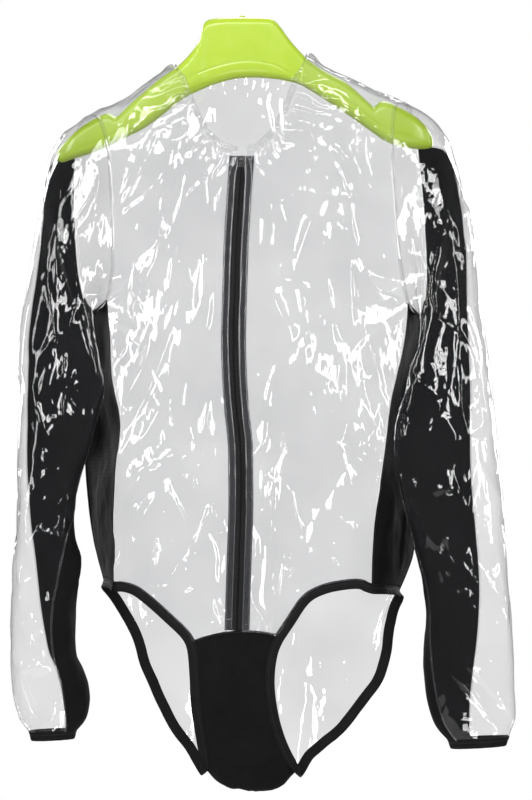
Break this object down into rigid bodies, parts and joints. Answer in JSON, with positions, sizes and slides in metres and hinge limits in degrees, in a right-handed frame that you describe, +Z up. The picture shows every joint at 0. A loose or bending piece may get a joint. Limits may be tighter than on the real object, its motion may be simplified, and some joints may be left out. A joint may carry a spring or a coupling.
{
  "type": "transparent rain coat on a hanger",
  "caption": "Clear film rain coat cut as a body suit with black stretch side, sleeve and crotch panels, front zip and bound leg openings, hanging on a broad lime plastic hanger.",
  "frame": {"origin": "the hang point: the middle of the boss on top of the hanger, level with the top of the hanger", "axes": "+Z up along the hang line, -Y out of the coat's front, +X towards the wearer's left"},
  "size_m": [0.6068, 0.1558, 0.9356],
  "materials": {
    "clear_film": "clear soft film, very glossy, creased",
    "black_fabric": "matt black stretch knit",
    "black_elastic": "folded black elastic, ribbed",
    "zip_tape": "coated black zip tape, low sheen",
    "black_plastic": "black lacquered slider",
    "lime_plastic": "moulded lime yellow plastic, satin"
  },
  "bodies": {
    "root": {"hanger": "lime_plastic", "front_right": "clear_film", "front_left": "clear_film", "back": "clear_film", "side_right": "black_fabric", "side_left": "black_fabric", "sleeve_right_clear": "clear_film", "sleeve_left_clear": "clear_film", "sleeve_right_black": "black_fabric", "sleeve_left_black": "black_fabric", "cuff_right": "black_elastic", "cuff_left": "black_elastic", "leg_binding_right": "black_elastic", "leg_binding_left": "black_elastic", "gusset": "black_fabric", "zip_tape_right": "zip_tape", "zip_tape_left": "zip_tape", "neckband": "clear_film", "zip_slider": "black_plastic"}
  },
  "joints": []
}
